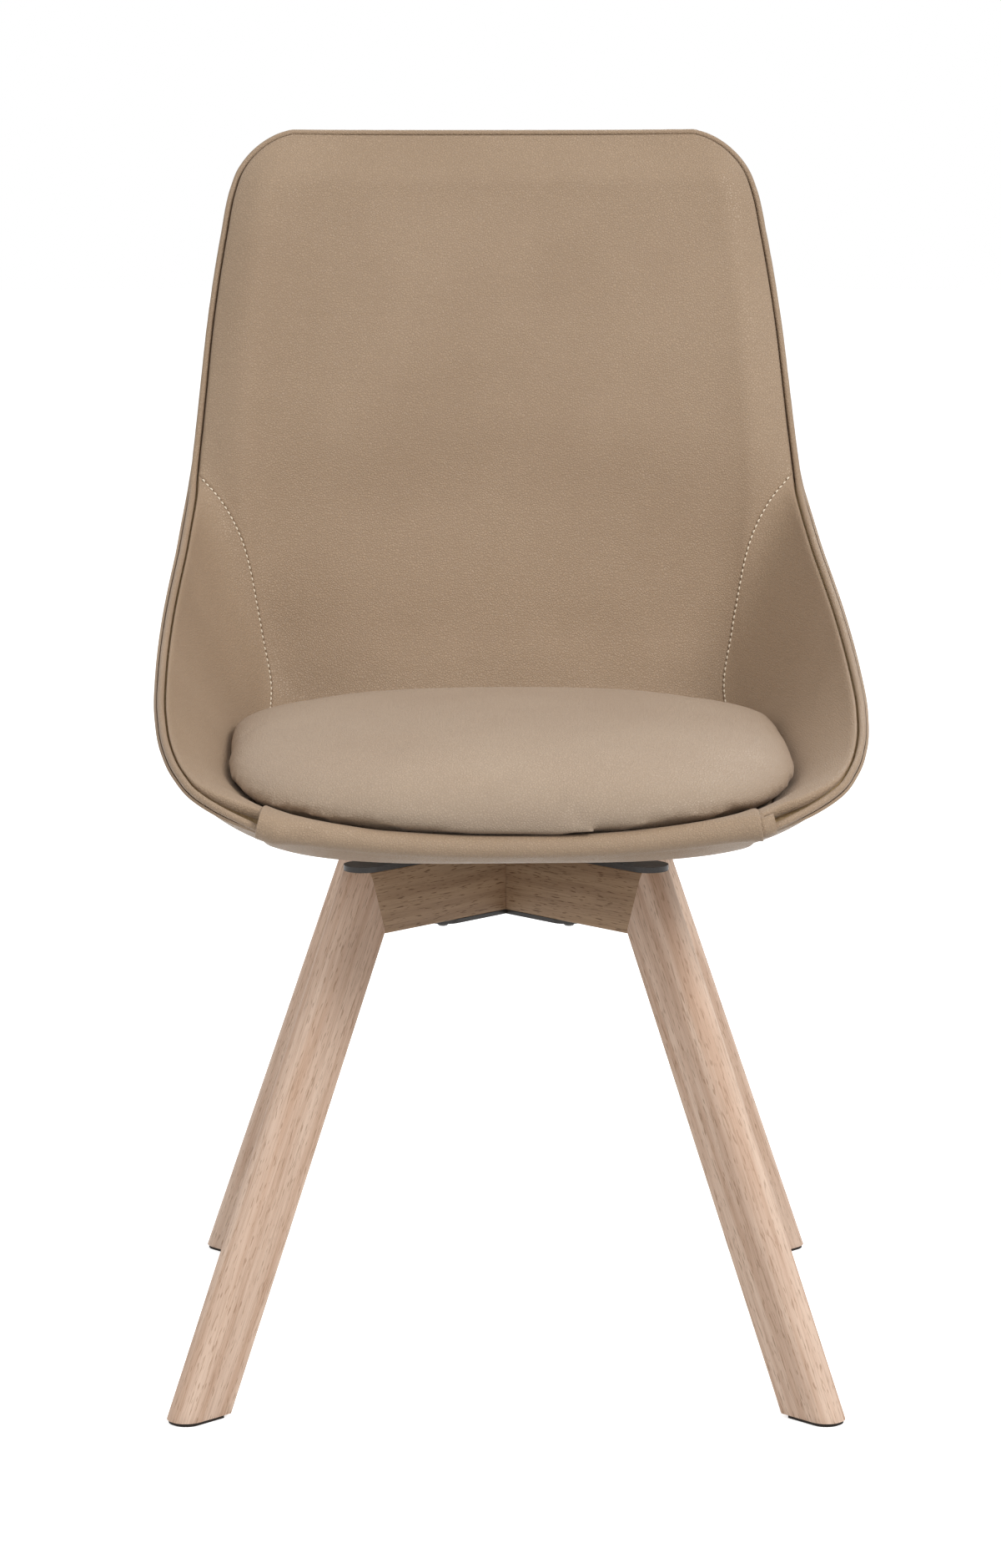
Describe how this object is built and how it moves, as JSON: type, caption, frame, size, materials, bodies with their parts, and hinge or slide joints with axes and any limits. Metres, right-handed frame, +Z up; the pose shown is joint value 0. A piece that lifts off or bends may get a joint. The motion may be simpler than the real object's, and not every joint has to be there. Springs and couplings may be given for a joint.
{
  "type": "swivel dining chair",
  "caption": "Dining chair with a padded bucket seat that turns on a ball bearing over splayed wooden legs.",
  "frame": {"origin": "on the floor, on the swivel axis, midway between the four feet", "axes": "+Z up along the swivel axis, -Y towards the chair's front, +X to the right of someone who faces the chair"},
  "size_m": [0.51, 0.5204, 0.8823],
  "materials": {
    "pale_oak": "whitewashed oak, matt",
    "dark_oak": "whitewashed oak in the seat's shade, matt",
    "dowel_wood": "raw beech",
    "foot_pad": "dark felt and plastic glide",
    "black_steel": "black powder coat, satin",
    "zinc_steel": "bright zinc plate",
    "cage_plastic": "natural nylon",
    "bush_plastic": "natural acetal",
    "plywood": "moulded birch plywood",
    "leatherette": "taupe leatherette with a fine grain, satin",
    "padded_leatherette": "taupe leatherette with a fine grain over foam, satin",
    "foam": "polyurethane foam"
  },
  "bodies": {
    "base": {"leg_front_left": "pale_oak", "arm_front_left": "dark_oak", "foot_pad_front_left": "foot_pad", "leg_front_right": "pale_oak", "arm_front_right": "dark_oak", "foot_pad_front_right": "foot_pad", "leg_rear_right": "pale_oak", "arm_rear_right": "dark_oak", "foot_pad_rear_right": "foot_pad", "leg_rear_left": "pale_oak", "arm_rear_left": "dark_oak", "foot_pad_rear_left": "foot_pad", "joint_dowels": "dowel_wood", "cross_bracket": "black_steel", "lower_cross_plate": "black_steel", "frame_bolts": "black_steel", "frame_nuts": "zinc_steel", "swivel_lower_race": "zinc_steel", "pivot_bush": "bush_plastic"},
    "bearing_cage": {"ball_cage": "cage_plastic", "bearing_balls": "zinc_steel"},
    "seat": {"seat_plate": "black_steel", "seat_bolts": "black_steel", "t_nuts": "zinc_steel", "swivel_upper_race": "zinc_steel", "pivot_pin": "zinc_steel", "pivot_washer": "zinc_steel", "pivot_lock_nut": "zinc_steel", "seat_shell": "plywood", "outer_cover": "leatherette", "deck_pad": "foam", "back_panel": "padded_leatherette", "side_panel_left": "padded_leatherette", "side_panel_right": "padded_leatherette", "lip_foam": "foam", "front_band": "leatherette", "edge_piping": "leatherette", "seat_cushion": "padded_leatherette"}
  },
  "joints": [
    {"name": "seat_swivel", "type": "hinge", "parent": "base", "child": "seat", "pos_m": [0, 0, 0.385], "axis": [0, 0, 1], "continuous": true},
    {"name": "cage_spin", "type": "hinge", "parent": "base", "child": "bearing_cage", "pos_m": [0, 0, 0.385], "axis": [0, 0, 1], "continuous": true}
  ],
  "couplings": [
    {"joint": "cage_spin", "follows": "seat_swivel", "ratio": 0.5}
  ]
}
